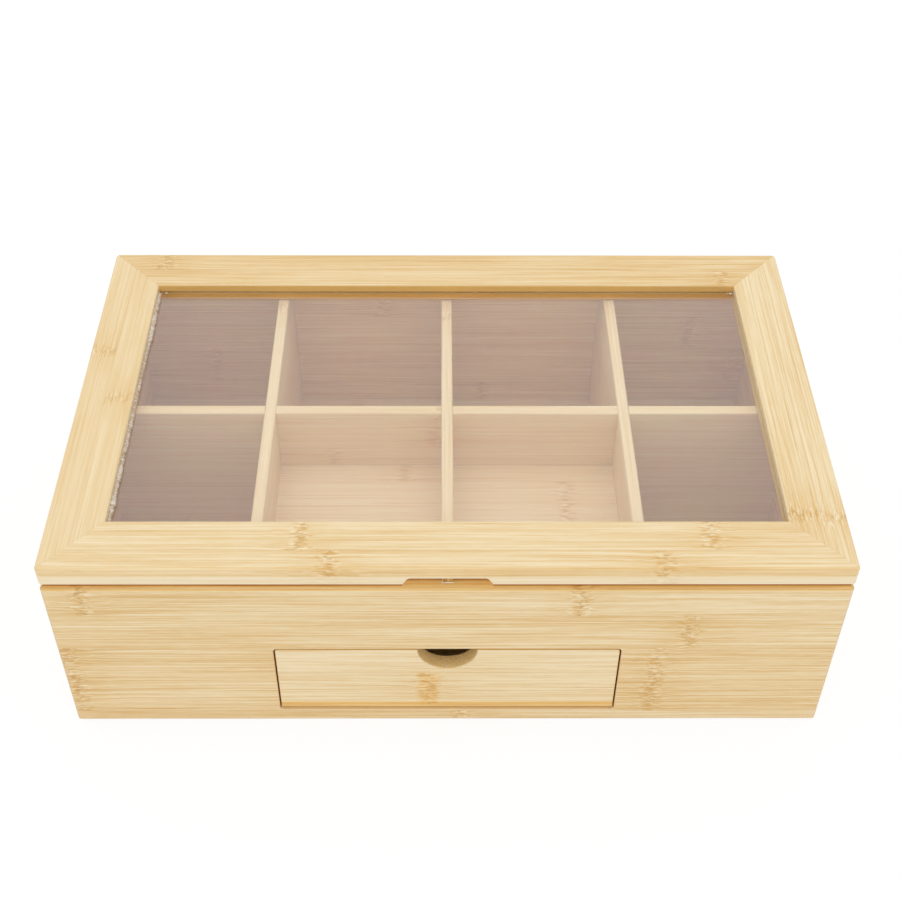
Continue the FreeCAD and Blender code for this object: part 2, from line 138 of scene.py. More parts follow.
def combine(tree, x, y, z):
    """A vector from three values."""
    return place_node(tree, "ShaderNodeCombineXYZ", {0: x, 1: y, 2: z}).outputs[0]


def cloudy(tree, place, octaves=2.0, roughness=0.5):
    """Smooth noise from 0 to 1 round 0.5, at places that are already scaled."""
    inputs = {"Vector": place, "Scale": 1.0, "Detail": octaves, "Roughness": roughness}
    return place_node(tree, "ShaderNodeTexNoise", inputs).outputs["Fac"]


def blend_colours(tree, share, first, second, kind="MIX"):
    """Two colours mixed by a share from 0 to 1."""
    new = place_node(tree, "ShaderNodeMix", data_type="RGBA", blend_type=kind, clamp_factor=True)
    feed(tree, new.inputs["Factor"], share)
    for socket, colour in ((new.inputs["A"], first), (new.inputs["B"], second)):
        feed(tree, socket, (*colour, 1.0) if isinstance(colour, tuple) else colour)
    return new.outputs["Result"]


def blend_vectors(tree, share, first, second):
    """Two vectors mixed by a share from 0 to 1."""
    inputs = {"Factor": share, "A": first, "B": second}
    return place_node(tree, "ShaderNodeMix", inputs, data_type="VECTOR").outputs["Result"]


def colour_ramp(tree, value, stops, interpolation="LINEAR"):
    """A colour and an alpha, read from stops of (position, colour) or (position, colour with alpha)."""
    new = place_node(tree, "ShaderNodeValToRGB", {"Fac": value})
    new.color_ramp.interpolation = interpolation
    elements = new.color_ramp.elements
    while len(elements) < len(stops):
        elements.new(1.0)
    for element, (position, colour) in zip(elements, stops):
        element.position = position
        element.color = (*colour, 1.0)[:4]
    return new.outputs["Color"], new.outputs["Alpha"]


def inside(tree, place, limits):
    """1 inside a block of space given by (low, high) for some of the axes, 0 outside it."""
    share = 1.0
    for axis, (low, high) in limits.items():
        middle = maths(tree, "COMPARE", place[axis], (low + high) / 2, (high - low) / 2)
        share = maths(tree, "MULTIPLY", share, middle)
    return share


def new_group(name, inputs, outputs):
    """An empty node group with named sockets. Returns it with its input and output nodes."""
    group = bpy.data.node_groups.new(name, "ShaderNodeTree")
    for direction, sockets in (("INPUT", inputs), ("OUTPUT", outputs)):
        for socket_name, kind, default in sockets:
            socket = group.interface.new_socket(socket_name, in_out=direction, socket_type=kind)
            if default is not None:
                socket.default_value = default
    return group, group.nodes.new("NodeGroupInput"), group.nodes.new("NodeGroupOutput")


def make_fibre_group():
    """Bamboo's figure, from a place along the grain (X), across the strips (Y) and through them (Z).

    Fine fibres are noise drawn out along X. Each strip has its own phase, tone and shift of the
    noise. At a knuckle the wood is tan, the fibres wander and break up into short dashes, and
    a few of them are brown. Amber is lacquer soaked into cut faces, and at its darker end painted
    shade in crevices and gaps. Painted light pales the wood toward cream: a painted highlight on
    rounded edges, and faces in shade painted paler.
    """
    group, given, result = new_group(
        "bamboo_fibre",
        [("Place", "NodeSocketVector", None), ("Strip", "NodeSocketColor", None),
         ("Knuckle spacing", "NodeSocketFloat", 0.25), ("Glue line", "NodeSocketFloat", 0.0),
         ("Painted light", "NodeSocketFloat", 0.0), ("Amber", "NodeSocketFloat", 0.0),
         ("Warmth", "NodeSocketFloat", 0.0), ("Contrast", "NodeSocketFloat", 1.0)],
        [("Colour", "NodeSocketColor", None), ("Roughness", "NodeSocketFloat", None),
         ("Height", "NodeSocketFloat", None)])
    split = place_node(group, "ShaderNodeSeparateXYZ", {0: given.outputs["Place"]})
    along, across, through = split.outputs
    strip = place_node(group, "ShaderNodeSeparateColor", {0: given.outputs["Strip"]})
    phase, tone, shift = strip.outputs
    spacing = given.outputs["Knuckle spacing"]
    lane_shift = maths(group, "MULTIPLY", shift, 90.0)

    def figure(lane, along_scale, across_scale, field, octaves=2.0, roughness=0.5):
        """Noise with so many waves a metre, read at a lane across the grain from its own field."""
        moved = maths(group, "MULTIPLY_ADD", along, along_scale, lane_shift)
        spot = combine(group, maths(group, "ADD", moved, field),
                       maths(group, "MULTIPLY", lane, across_scale),
                       maths(group, "MULTIPLY", through, across_scale))
        return cloudy(group, spot, octaves, roughness)

    def centred(value, strength):
        """The same value swinging round 0, this strongly."""
        return maths(group, "MULTIPLY", maths(group, "SUBTRACT", value, 0.5), strength)

    turns = maths(group, "SUBTRACT", maths(group, "DIVIDE", along, spacing), phase)
    nearest = maths(group, "SUBTRACT", maths(group, "FRACT", maths(group, "ADD", turns, 8.0)), 0.5)
    ragged = centred(figure(across, 60.0, 420.0, 3.0), 11 * MM)
    signed = maths(group, "MULTIPLY_ADD", nearest, spacing, ragged)
    distance = maths(group, "ABSOLUTE", signed)
    knuckle = rise(group, distance, 6.2 * MM, 2.2 * MM)
    ridge = rise(group, distance, 1.8 * MM, 0.4 * MM)
    near = rise(group, distance, 26 * MM, 2 * MM)

    wander = centred(figure(across, 14.0, 90.0, 11.0, 1.0), 1.0)
    ripple = centred(figure(across, 150.0, 420.0, 17.0, 1.0), 1.0)
    sway = maths(group, "MULTIPLY", wander, maths(group, "MULTIPLY_ADD", near, 3.6 * MM, 0.6 * MM))
    bent = maths(group, "MULTIPLY_ADD", ripple, maths(group, "MULTIPLY", near, 2 * MM), sway)
    bent = maths(group, "ADD", across, bent)

    fibres = figure(bent, 16.0, 820.0, 0.0, 1.0, 0.80)
    depth = centred(fibres, 0.80)
    for along_scale, across_scale, field, strength in FIGURE_LAYERS:
        layer = figure(bent, along_scale, across_scale, field, 1.0)
        depth = maths(group, "ADD", depth, centred(layer, strength))
    for field, strength in STRAY_LINES:
        line = rise(group, figure(bent, 12.0, 1300.0, field, 0.0), 0.60, 0.78)
        depth = maths(group, "MULTIPLY_ADD", line, strength, depth)
    depth = maths(group, "ADD", centred(tone, STRIP_SWING), depth)
    depth = maths(group, "MULTIPLY", depth, given.outputs["Contrast"])
    depth = maths(group, "ADD", maths(group, "ADD", depth, MEAN_DEPTH), given.outputs["Warmth"])
    depth = maths(group, "MULTIPLY_ADD", near, NEAR_KNUCKLE, depth)
    dashes = centred(figure(bent, 190.0, 1000.0, 73.0), 3.2)
    patch = maths(group, "MULTIPLY_ADD", dashes, given.outputs["Contrast"], KNUCKLE_PATCH)
    depth = maths(group, "MULTIPLY_ADD", knuckle, patch, depth)
    wood = colour_ramp(group, depth, [(0.05, CREAM), (0.50, STRAW), (1.0, CANE)])[0]

    specks = figure(bent, 420.0, 1200.0, 57.0)
    in_patch = maths(group, "MULTIPLY", knuckle, rise(group, specks, 0.60, 0.70))
    on_ridge = maths(group, "MULTIPLY", ridge, rise(group, specks, 0.50, 0.60))
    speckled = maths(group, "MAXIMUM", in_patch, on_ridge)
    speckled = maths(group, "MULTIPLY", speckled, given.outputs["Contrast"])
    brown = maths(group, "MULTIPLY", speckled, SPECK_BROWN)
    wood = blend_colours(group, brown, wood, KNUCKLE_BROWN)
    seam = maths(group, "MULTIPLY", given.outputs["Glue line"], GLUE_DARK)
    wood = blend_colours(group, seam, wood, KNUCKLE_BROWN)
    # Painted light, toward cream: a painted highlight on rounded edges, and faces in shade painted
    # paler.
    painted_light = maths(group, "MULTIPLY", given.outputs["Painted light"], HIGHLIGHT_PALE)
    wood = blend_colours(group, painted_light, wood, HIGHLIGHT_CREAM)
    # Amber: lacquer, and at its darker end painted shade.
    lacquer = colour_ramp(group, given.outputs["Amber"], AMBER_LACQUER_AND_SHADE)[0]
    feed(group, result.inputs["Colour"], blend_colours(group, 1.0, wood, lacquer, "MULTIPLY"))
    roughness = maths(group, "MULTIPLY_ADD", fibres, FIBRE_ROUGHNESS, SATIN_ROUGHNESS)
    feed(group, result.inputs["Roughness"], roughness)
    raised = maths(group, "MULTIPLY_ADD", speckled, -0.9, maths(group, "SUBTRACT", 1.0, fibres))
    sunk = maths(group, "MULTIPLY_ADD", given.outputs["Glue line"], -0.5, raised)
    feed(group, result.inputs["Height"], sunk)
    return group


def make_edge_group():
    """A normal rounded over the edges, and 1 where it leans from the real one, 0 on the flat."""
    group, given, result = new_group(
        "eased_edge", [("Radius", "NodeSocketFloat", EASED_EDGE)],
        [("Mask", "NodeSocketFloat", None), ("Normal", "NodeSocketVector", None)])
    softened = place_node(group, "ShaderNodeBevel", {"Radius": given.outputs["Radius"]}, samples=4)
    plain = place_node(group, "ShaderNodeNewGeometry")
    lean = place_node(group, "ShaderNodeVectorMath", operation="DOT_PRODUCT")
    feed(group, lean.inputs[0], softened.outputs["Normal"])
    feed(group, lean.inputs[1], plain.outputs["Normal"])
    feed(group, result.inputs["Mask"], rise(group, lean.outputs["Value"], 0.985, 0.80))
    feed(group, result.inputs["Normal"], softened.outputs["Normal"])
    return group


fibre_group = make_fibre_group()
edge_group = make_edge_group()


def cut_strips(seed, low, high, width):
    """Strips of about that width that fill a board from one place across the grain to another.

    Each is the place of its upper edge, the place of one knuckle along the grain, the spacing of
    its knuckles, all in metres, and its tone from 0, pale, to 1.
    """
    dice = random.Random(seed)
    count = max(1, round((high - low) / width))
    strips = []
    for i in range(1, count + 1):
        wander = dice.uniform(-0.12, 0.12) if i < count else 0.0
        edge = low + (high - low) * (i + wander) / count
        knuckle = dice.uniform(-0.12, 0.12)
        spacing = dice.uniform(0.19, 0.30)
        strips.append((edge, knuckle, spacing, dice.uniform(0.2, 0.8)))
    return strips


def bamboo(name, grain, across, low, strips, warmth=0.0, contrast=1.0,
           amber=None, mitre=None, painted_light=None):
    """A board's material: its grain runs along one axis, its strips side by side along another.

    amber, mitre and sanded are functions of the tree and the place. amber masks lacquer and
    painted shade, in the same tones, and sanded masks painted light, which pales a face in shade.
    mitre gives two masks: a line as times as dark as a glue line, which is a mitre's thin line
    and, on the lid, a painted shadow along the window's groove, and 1 where edges get rounded
    shading and the painted highlight. The strips' knuckles and tones are kept in a stepped ramp.
    """
    material = bpy.data.materials.new(name)
    material.use_nodes = True
    tree = material.node_tree
    shader = tree.nodes["Principled BSDF"]
    spot = place_node(tree, "ShaderNodeTexCoord").outputs["Object"]
    split = place_node(tree, "ShaderNodeSeparateXYZ", {0: spot})
    place = dict(zip("xyz", split.outputs))
    through = ({"x", "y", "z"} - {grain, across}).pop()
    board = combine(tree, place[grain], place[across], place[through])
    high = strips[-1][0]
    dice = random.Random(name)
    stops, start = [], 0.0
    for edge, knuckle, spacing, tone in strips:
        phase = (knuckle / spacing + 0.5) % 1.0
        stops.append((start, (phase, tone, dice.random(), spacing)))
        start = (edge - low) / (high - low)

    def strip_at(offset):
        """The strip's phase, tone and shift, and its knuckle spacing, read a little to one side."""
        height = maths(tree, "ADD", place[across], offset)
        inputs = {"Value": height, "From Min": low, "From Max": high}
        share = place_node(tree, "ShaderNodeMapRange", inputs)
        return colour_ramp(tree, share.outputs["Result"], stops, "CONSTANT")

    apart = place_node(tree, "ShaderNodeVectorMath", operation="DISTANCE")
    feed(tree, apart.inputs[0], strip_at(-GLUE_LINE)[0])
    feed(tree, apart.inputs[1], strip_at(GLUE_LINE)[0])
    seam = maths(tree, "GREATER_THAN", apart.outputs["Value"], 0.001)
    # The rounded-edge mask is a painted highlight; faces in shade painted paler are added to it.
    edge = place_node(tree, "ShaderNodeGroup", node_tree=edge_group)
    highlight, rounded = edge.outputs
    if mitre:
        line, clear = mitre(tree, place)
        seam = maths(tree, "MAXIMUM", seam, line)
        highlight = maths(tree, "MULTIPLY", highlight, clear)
        flat = place_node(tree, "ShaderNodeNewGeometry").outputs["Normal"]
        rounded = blend_vectors(tree, clear, flat, rounded)
    if painted_light:
        highlight = maths(tree, "MAXIMUM", highlight, painted_light(tree, place))
    fibre = place_node(tree, "ShaderNodeGroup", node_tree=fibre_group)
    strip, spacing = strip_at(0.0)
    fibre_inputs = {"Place": board, "Strip": strip, "Knuckle spacing": spacing, "Glue line": seam,
                    "Painted light": highlight, "Warmth": warmth, "Contrast": contrast,
                    "Amber": amber(tree, place) if amber else 0.0}
    for key, value in fibre_inputs.items():
        feed(tree, fibre.inputs[key], value)
    feed(tree, shader.inputs["Base Color"], fibre.outputs["Colour"])
    feed(tree, shader.inputs["Roughness"], fibre.outputs["Roughness"])
    bump_inputs = {"Height": fibre.outputs["Height"], "Distance": FIBRE_RELIEF, "Strength": 0.5,
                   "Normal": rounded}
    bump = place_node(tree, "ShaderNodeBump", bump_inputs)
    feed(tree, shader.inputs["Normal"], bump.outputs["Normal"])
    shader.inputs["Specular IOR Level"].default_value = SATIN_SPECULAR
    return material


def finish_node(name, material):
    """Gives a CAD node its real finish."""
    slots = nodes[name].data.materials
    slots.clear()
    slots.append(material)


wall_low, wall_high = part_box("front_panel")
wall_top = wall_high.z
outer_face = {"x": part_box("right_panel")[1].x, "y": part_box("back_panel")[1].y}
drawer_low, drawer_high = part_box("drawer_front")

wall_thickness = wall_high.y - wall_low.y
BEVEL = 3 * MM
WALL_WARMTH = 0.04
SIDE_STRIP = 21 * MM

# Painted shade in amber tones, from 0 to 1: on the bevel's foot and, darkest, along its top in the
# crevice under the lid, in the drawer hole's jambs, and on the inner faces under the lid's rails.
# The hole's sill gets only a light amber tint. Under the notch, where the crevice opens, the
# painted shade along the bevel's top is lighter by that last share.
BEVEL_FOOT_SHADE = 0.32
BEVEL_TOP_SHADE = 1.0
SILL_AMBER = 0.20
JAMB_SHADE = 0.88
INNER_SHADE = 0.14
NOTCH_SHADE_LIGHTER = 0.70

# How strong the painted highlight is along the bevel's lower edge.
ARRIS_HIGHLIGHT = 0.8
MITRE_DARK = 3.0    # times as dark as a glue line
# Only x is limited here, so the back wall's bevel gets that lighter painted shade too.
UNDER_NOTCH = {"x": (-19 * MM, 19 * MM)}
hole_sides = (drawer_low.x - 1.5 * MM, drawer_high.x + 1.5 * MM)
sill_top = drawer_low.z + 0.6 * MM
DRAWER_SILL = {"x": hole_sides, "y": (wall_low.y + 0.1 * MM, wall_high.y - 0.1 * MM),
               "z": (drawer_low.z - 0.7 * MM, sill_top)}
DRAWER_JAMBS = {"x": hole_sides, "y": (wall_low.y + 0.3 * MM, wall_high.y - 0.1 * MM),
                "z": (sill_top, drawer_high.z + 0.1 * MM)}


def painted_shade_wall(axis, sign, outer):
    """Painted shade in amber tones on a wall's outer bevel, darkest along its top, in the drawer hole's
    jambs and on the inner face, and a light amber tint on the hole's sill.
    """
    def mask(tree, place):
        reach = maths(tree, "MULTIPLY_ADD", place[axis], sign, place["z"])
        foot = outer + wall_top - BEVEL
        on_bevel = rise(tree, reach, foot - 1.1 * MM, foot - 0.3 * MM)
        # Painted shade, darkest along the bevel's top in the crevice under the lid.
        lid_shade = rise(tree, place["z"], wall_top - 2.2 * MM, wall_top - 1.3 * MM)
        kept = maths(tree, "MULTIPLY_ADD", inside(tree, place, UNDER_NOTCH), -NOTCH_SHADE_LIGHTER, 1.0)
        lid_shade = maths(tree, "MULTIPLY", lid_shade, kept)
        thickness = maths(tree, "MULTIPLY_ADD", lid_shade, BEVEL_TOP_SHADE - BEVEL_FOOT_SHADE,
                          BEVEL_FOOT_SHADE)
        bevel = maths(tree, "MULTIPLY", on_bevel, thickness)
        sill = maths(tree, "MULTIPLY", inside(tree, place, DRAWER_SILL), SILL_AMBER)
        # Painted shadow in the drawer hole's jambs.
        jambs = maths(tree, "MULTIPLY", inside(tree, place, DRAWER_JAMBS), JAMB_SHADE)
        # Painted shade on the inner face.
        inner_face = outer - wall_thickness
        outward = maths(tree, "MULTIPLY", place[axis], sign)
        inner = rise(tree, outward, inner_face + 0.4 * MM, inner_face + 0.1 * MM)
        return largest(tree, bevel, sill, jambs, maths(tree, "MULTIPLY", inner, INNER_SHADE))
    return mask


def painted_light_wall(axis, sign, outer):
    """The bevel's lower edge, a painted highlight, and the drawer hole's sill, painted paler where it
    lies in shade under the drawer.
    """
    def mask(tree, place):
        reach = maths(tree, "MULTIPLY_ADD", place[axis], sign, place["z"])
        middle = outer + wall_top - BEVEL - 0.35 * MM
        off = maths(tree, "ABSOLUTE", maths(tree, "SUBTRACT", reach, middle))
        arris = maths(tree, "MULTIPLY", rise(tree, off, 0.40 * MM, 0.15 * MM), ARRIS_HIGHLIGHT)
        return maths(tree, "MAXIMUM", arris, inside(tree, place, DRAWER_SILL))
    return mask


def wall_mitre(tree, place):
    """The thin dark line of the corner mitres, on the bevel only. Edges may get rounded shading and the
    painted highlight anywhere.
    """
    past_end = maths(tree, "SUBTRACT", maths(tree, "ABSOLUTE", place["x"]), outer_face["x"])
    past_front = maths(tree, "SUBTRACT", maths(tree, "ABSOLUTE", place["y"]), outer_face["y"])
    off = maths(tree, "ABSOLUTE", maths(tree, "SUBTRACT", past_end, past_front))
    line = maths(tree, "LESS_THAN", off, 0.20 * MM)
    bevel_foot = wall_top - BEVEL
    on_bevel = rise(tree, place["z"], bevel_foot - 0.3 * MM, bevel_foot + 0.1 * MM)
    return maths(tree, "MULTIPLY", maths(tree, "MULTIPLY", line, on_bevel), MITRE_DARK), 1.0


# Each wall: its grain, the axis that it looks along and which way, and its strips from the foot up.
walls = {
    "front_panel": ("x", "y", -1.0, [(0.0070, 0.006, 0.30, 0.55), (0.0534, 0.092, 0.258, 0.60),
                                     (0.0755, 0.1045, 0.30, 0.40), (0.0960, 0.056, 0.21, 0.30)]),
    "back_panel": ("x", "y", 1.0, [(0.0240, 0.020, 0.30, 0.45), (0.0480, -0.125, 0.28, 0.55),
                                   (0.0700, 0.131, 0.30, 0.40), (0.0960, -0.032, 0.30, 0.50)]),
    "left_panel": ("y", "x", -1.0, cut_strips("left_panel", 0.0, wall_top, SIDE_STRIP)),
    "right_panel": ("y", "x", 1.0, cut_strips("right_panel", 0.0, wall_top, SIDE_STRIP)),
}
for wall, (grain, outward, sign, strips) in walls.items():
    finish_node(wall, bamboo("bamboo_" + wall, grain, "z", 0.0, strips, WALL_WARMTH,
                             amber=painted_shade_wall(outward, sign, outer_face[outward]), mitre=wall_mitre,
                             painted_light=painted_light_wall(outward, sign, outer_face[outward])))


# ---------------------------------------------------------------------------------------------
# Bottom panel. One thin bamboo board, let into grooves in the four walls, which is also the
# floor of the six deep compartments. It is plain inside, with no lacquer to warm it.
# ---------------------------------------------------------------------------------------------

UNLACQUERED = -0.12
QUIET_FIGURE = 0.7
FLOOR_HALF = 104 * MM
FLOOR_STRIP = 24 * MM
floor_strips = cut_strips("bottom", -FLOOR_HALF, FLOOR_HALF, FLOOR_STRIP)
finish_node("bottom_panel", bamboo("bamboo_bottom", "x", "y", -FLOOR_HALF, floor_strips,
                                   UNLACQUERED, QUIET_FIGURE))


# ---------------------------------------------------------------------------------------------
# Dividers. Three slats from front to back and one from end to end, half-lapped where they
# cross and housed in the walls. They are unlacquered, and their top edges carry the painted
# highlight of every rounded edge.
# ---------------------------------------------------------------------------------------------

SLAT_FIGURE = 0.6
SLAT_STRIP = 22 * MM
slat_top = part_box("divider_cross")[1].z
for divider in ("divider_left", "divider_centre", "divider_right"):
    slat_strips = cut_strips(divider, 0.0, slat_top, SLAT_STRIP)
    finish_node(divider, bamboo("bamboo_" + divider, "y", "z", 0.0, slat_strips,
                                UNLACQUERED, SLAT_FIGURE))
slat_strips = cut_strips("cross", 0.0, slat_top, SLAT_STRIP)
finish_node("divider_cross", bamboo("bamboo_cross", "x", "z", 0.0, slat_strips,
                                    UNLACQUERED, SLAT_FIGURE))


# ---------------------------------------------------------------------------------------------
# Drawer deck and guides. The deck is the shallow floor of the two front middle compartments and
# the roof over the drawer. The two guide strips are glued to the bottom panel beside the drawer.
# ---------------------------------------------------------------------------------------------

DECK_WARMTH = -0.20
GUIDE_FOOT = 10 * MM
GUIDE_TOP = 34 * MM
deck_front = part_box("drawer_deck")[0].y
deck_strips = [(-0.0520, -0.090, 0.30, 0.50), (-0.0140, 0.056, 0.30, 0.45),
               (-0.0028, -0.020, 0.30, 0.50)]
finish_node("drawer_deck", bamboo("bamboo_deck", "x", "y", deck_front, deck_strips,
                                  DECK_WARMTH, QUIET_FIGURE))
for guide in ("drawer_guide_left", "drawer_guide_right"):
    guide_strips = cut_strips(guide, GUIDE_FOOT, GUIDE_TOP, GUIDE_TOP - GUIDE_FOOT)
    finish_node(guide, bamboo("bamboo_" + guide, "y", "z", GUIDE_FOOT, guide_strips))


# ---------------------------------------------------------------------------------------------
# Drawer. A front board cut with a half-round finger pull, two sides, a back, and a thin bottom
# in grooves. The front is glued to the sides, and its lower edge is rounded over.
# ---------------------------------------------------------------------------------------------

PULL_ROOM = {"x": (-24.5 * MM, 24.5 * MM), "y": (drawer_low.y + 0.3 * MM, drawer_high.y - 0.3 * MM),
             "z": (25 * MM, drawer_high.z - 0.3 * MM)}
DRAWER_KNUCKLE = -8.5 * MM
KNUCKLE_STRIP = {"z": (12.5 * MM, 35.6 * MM)}
FRONT_FOOT = 8 * MM
FRONT_WARMTH = -0.16
PORES_A_METRE = 1500.0

# How dark the amber lies, from 0 to 1. On the top edge and the ends it is painted shade of the gap
# round the drawer, and the ends are end grain too. In the pull and at the knuckle it is lacquer in
# cut fibres. On the lower round-over, which faces down, it is painted shade that grows with height.
TOP_EDGE_SHADE = 0.55
END_AMBER_AND_SHADE = 0.65
KNUCKLE_AMBER = 0.24
PULL_AMBER = 0.30
PORE_AMBER = 0.40
ROUND_OVER_SHADE = (66.0, -0.35)


def amber_and_shade_drawer_front(tree, place):
    """Painted shade on the lower round-over and along the gap at the top edge and the ends, which are
    end grain too; lacquer in the pull's open pores, and a knuckle.
    """
    # Painted shade on the lower round-over, growing with height.
    grown = maths(tree, "MULTIPLY_ADD", place["z"], *ROUND_OVER_SHADE)
    on_foot = rise(tree, place["z"], drawer_low.z + 6.4 * MM, drawer_low.z + 5.4 * MM)
    foot = maths(tree, "MULTIPLY", on_foot, grown)
    # Painted shade of the gap along the top edge.
    on_top = rise(tree, place["z"], drawer_high.z - 0.3 * MM, drawer_high.z - 0.1 * MM)
    top = maths(tree, "MULTIPLY", on_top, TOP_EDGE_SHADE)
    grid = combine(tree, *[maths(tree, "MULTIPLY", place[axis], PORES_A_METRE) for axis in "xyz"])
    pores = rise(tree, cloudy(tree, grid), 0.48, 0.66)
    pores = maths(tree, "MULTIPLY_ADD", pores, PORE_AMBER, PULL_AMBER)
    pull = maths(tree, "MULTIPLY", inside(tree, place, PULL_ROOM), pores)
    # End grain, and painted shade of the side gaps.
    from_middle = maths(tree, "ABSOLUTE", place["x"])
    on_end = rise(tree, from_middle, drawer_high.x - 0.2 * MM, drawer_high.x - 0.1 * MM)
    ends = maths(tree, "MULTIPLY", on_end, END_AMBER_AND_SHADE)
    off = maths(tree, "ABSOLUTE", maths(tree, "SUBTRACT", place["x"], DRAWER_KNUCKLE))
    on_strip = inside(tree, place, KNUCKLE_STRIP)
    tan = maths(tree, "MULTIPLY", on_strip, rise(tree, off, 6.5 * MM, 2.5 * MM))
    knuckle = maths(tree, "MULTIPLY", tan, KNUCKLE_AMBER)
    return largest(tree, foot, top, pull, ends, knuckle)


def painted_light_pull(tree, place):
    """Painted light in the pull, which lies in shade under the wall above, paler than the wood."""
    return inside(tree, place, PULL_ROOM)


knuckle_low, knuckle_high = KNUCKLE_STRIP["z"]
front_strips = [(knuckle_low, 0.130, 0.30, 0.45), (knuckle_high, DRAWER_KNUCKLE, 0.30, 0.45),
                (0.0525, 0.110, 0.30, 0.40)]
finish_node("drawer_front", bamboo("bamboo_drawer_front", "x", "z", FRONT_FOOT, front_strips,
                                   FRONT_WARMTH, amber=amber_and_shade_drawer_front, painted_light=painted_light_pull))

DRAWER_FOOT = 11 * MM
DRAWER_TOP = 47.5 * MM
DRAWER_STRIP = 19 * MM
DRAWER_FLOOR = (-102 * MM, -4 * MM)
for board, grain in (("drawer_side_left", "y"), ("drawer_side_right", "y"), ("drawer_back", "x")):
    board_strips = cut_strips(board, DRAWER_FOOT, DRAWER_TOP, DRAWER_STRIP)
    finish_node(board, bamboo("bamboo_" + board, grain, "z", DRAWER_FOOT, board_strips))
floor_strips = cut_strips("drawer_bottom", *DRAWER_FLOOR, FLOOR_STRIP)
finish_node("drawer_bottom", bamboo("bamboo_drawer_bottom", "x", "y", DRAWER_FLOOR[0], floor_strips))


# ---------------------------------------------------------------------------------------------
# Lid frame. Four rails, each of two strips side by side, mitred at the corners, with a groove
# all round for the window. A shallow notch under the front rail lets a finger in.
# ---------------------------------------------------------------------------------------------

sheet_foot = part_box("lid_window")[0].z
sheet_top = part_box("lid_window")[1].z
rail_low, rail_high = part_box("lid_rail_front")
opening = {"front": rail_high.y, "back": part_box("lid_rail_back")[0].y,
           "left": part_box("lid_rail_left")[1].x, "right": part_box("lid_rail_right")[0].x}

# A side rail's width over the mean of the front's and the back's. The drawn line is up to half a
# millimetre off the real mitre at an outer corner.
MITRE_SLOPE = 0.943

# Rooms on the front rail: its front edge's upper half, its lower arris, and the finger notch.
ALL_ALONG = (-0.2, 0.2)
FRONT_BROW = {"x": ALL_ALONG, "y": (rail_low.y - 0.5 * MM, rail_low.y + 1.6 * MM),
              "z": (rail_low.z + 5.2 * MM, rail_high.z + 0.5 * MM)}
FRONT_ARRIS = {"x": ALL_ALONG, "y": (rail_low.y - 0.5 * MM, rail_low.y + 0.7 * MM),
               "z": (rail_low.z - 0.5 * MM, rail_low.z + 0.4 * MM)}
NOTCH_ROOM = {"x": (-19.3 * MM, 19.3 * MM), "y": (rail_low.y + 0.2 * MM, rail_low.y + 8.5 * MM),
              "z": (rail_low.z + 0.2 * MM, rail_low.z + 4.4 * MM)}

# How dark the painted shade lies there, in amber tones from 0 to 1, and on the sawn inner faces over
# and under the window; the brow gets only a faint amber.
BROW_AMBER = 0.10
ARRIS_SHADE = 0.85
NOTCH_SIDE_SHADE = 0.46
NOTCH_ROOF_SHADE = 0.78
SAWN_SHADE = {"y": (0.55, 0.74), "x": (0.10, 0.10)}

# How pale the painted highlight makes the front edge's lower half.
FRONT_HIGHLIGHT = 0.72
# A painted shadow line along the window's groove, just above the sheet:
GROOVE_SHADOW = 3.5    # times as dark as a glue line


def sawn_face(tree, place, axis, sign, level):
    """1 on a rail's sawn inner face, which looks along the axis and stands at that level."""
    inward = maths(tree, "MULTIPLY", place[axis], sign)
    return rise(tree, inward, sign * level - 0.30 * MM, sign * level - 0.05 * MM)


def painted_shade_lid(axis, sign, level):
    """Painted shade on a rail's sawn inner face, darker under the window, in the finger notch, darkest
    at its roof, and on the front rail's lower arris; a faint amber on its brow.
    """
    over, under = SAWN_SHADE[axis]

    def mask(tree, place):
        below = rise(tree, place["z"], sheet_foot + 0.5 * MM, sheet_foot)
        thickness = maths(tree, "MULTIPLY_ADD", below, under - over, over)
        sawn = maths(tree, "MULTIPLY", sawn_face(tree, place, axis, sign, level), thickness)
        # Painted shade along the front rail's lower arris.
        arris = maths(tree, "MULTIPLY", inside(tree, place, FRONT_ARRIS), ARRIS_SHADE)
        # The notch's painted shade deepens toward its roof.
        roof = rise(tree, place["z"], rail_low.z + 1.4 * MM, rail_low.z + 3.4 * MM)
        depth = maths(tree, "MULTIPLY_ADD", roof, NOTCH_ROOF_SHADE - NOTCH_SIDE_SHADE,
                      NOTCH_SIDE_SHADE)
        notch = maths(tree, "MULTIPLY", inside(tree, place, NOTCH_ROOM), depth)
        brow = maths(tree, "MULTIPLY", inside(tree, place, FRONT_BROW), BROW_AMBER)
        return largest(tree, sawn, arris, notch, brow)
    return mask


